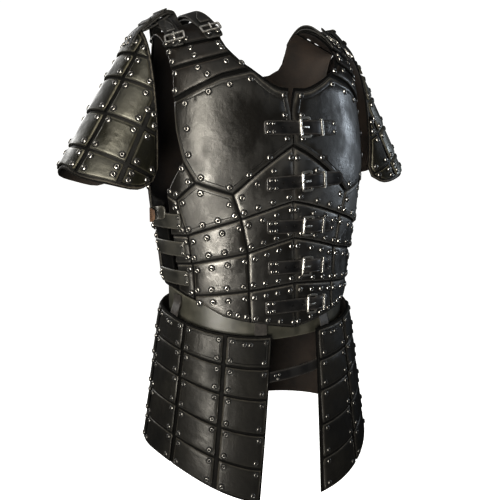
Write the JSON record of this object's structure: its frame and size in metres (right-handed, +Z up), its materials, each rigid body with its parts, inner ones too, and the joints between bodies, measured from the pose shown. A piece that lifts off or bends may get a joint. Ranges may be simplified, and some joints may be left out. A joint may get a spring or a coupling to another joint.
{
  "type": "brigandine",
  "caption": "Worn leather brigandine: riveted plates on open shells, half sleeves, belt and two hanging tassets, closed by buckled straps.",
  "frame": {"origin": "on the body's axis, just below the top of the shoulders, where the wearer carries it", "axes": "+X to the wearer's left, -Y out of the chest, +Z up"},
  "size_m": [0.7036, 0.3253, 0.8355],
  "materials": {
    "black_leather": "satin, worn edges",
    "raw_leather": "matt, undyed inside",
    "strap_leather": "satin",
    "antique_steel": "antique"
  },
  "bodies": {
    "root": {"armpit_plate_left": "black_leather", "armpit_plate_right": "black_leather", "back_shell": "raw_leather", "belly_centre_1_left": "black_leather", "belly_centre_1_right": "black_leather", "belly_centre_2_left": "black_leather", "belly_centre_2_right": "black_leather", "belly_centre_3_left": "black_leather", "belly_centre_3_right": "black_leather", "belly_centre_4_left": "black_leather", "belly_centre_4_right": "black_leather", "belly_middle_1_left": "black_leather", "belly_middle_1_right": "black_leather", "belly_middle_2_left": "black_leather", "belly_middle_2_right": "black_leather", "belly_middle_3_left": "black_leather", "belly_middle_3_right": "black_leather", "belly_middle_4_left": "black_leather", "belly_middle_4_right": "black_leather", "belt": "strap_leather", "cap_lame_left": "black_leather", "cap_lame_right": "black_leather", "chest_plate_left": "black_leather", "chest_plate_right": "black_leather", "front_buckle_1": "antique_steel", "front_buckle_2": "antique_steel", "front_buckle_3": "antique_steel", "front_buckle_4": "antique_steel", "front_buckle_5": "antique_steel", "front_shell_left": "raw_leather", "front_shell_right": "raw_leather", "front_strap_1": "strap_leather", "front_strap_2": "strap_leather", "front_strap_3": "strap_leather", "front_strap_4": "strap_leather", "front_strap_5": "strap_leather", "lower_back_plate": "black_leather", "lower_lame_left": "black_leather", "lower_lame_right": "black_leather", "middle_back_plate": "black_leather", "neck_strap_left": "strap_leather", "neck_strap_right": "strap_leather", "side_plate_left": "black_leather", "side_plate_right": "black_leather", "side_strap_1_left": "strap_leather", "side_strap_1_right": "strap_leather", "side_strap_2_left": "strap_leather", "side_strap_2_right": "strap_leather", "side_strap_3_left": "strap_leather", "side_strap_3_right": "strap_leather", "sleeve_left": "black_leather", "sleeve_right": "black_leather", "sleeve_strap_left": "strap_leather", "sleeve_strap_right": "strap_leather", "tasset_left": "black_leather", "tasset_right": "black_leather", "tie_strap": "strap_leather", "upper_back_plate": "black_leather", "upper_lame_left": "black_leather", "upper_lame_right": "black_leather"}
  },
  "joints": []
}
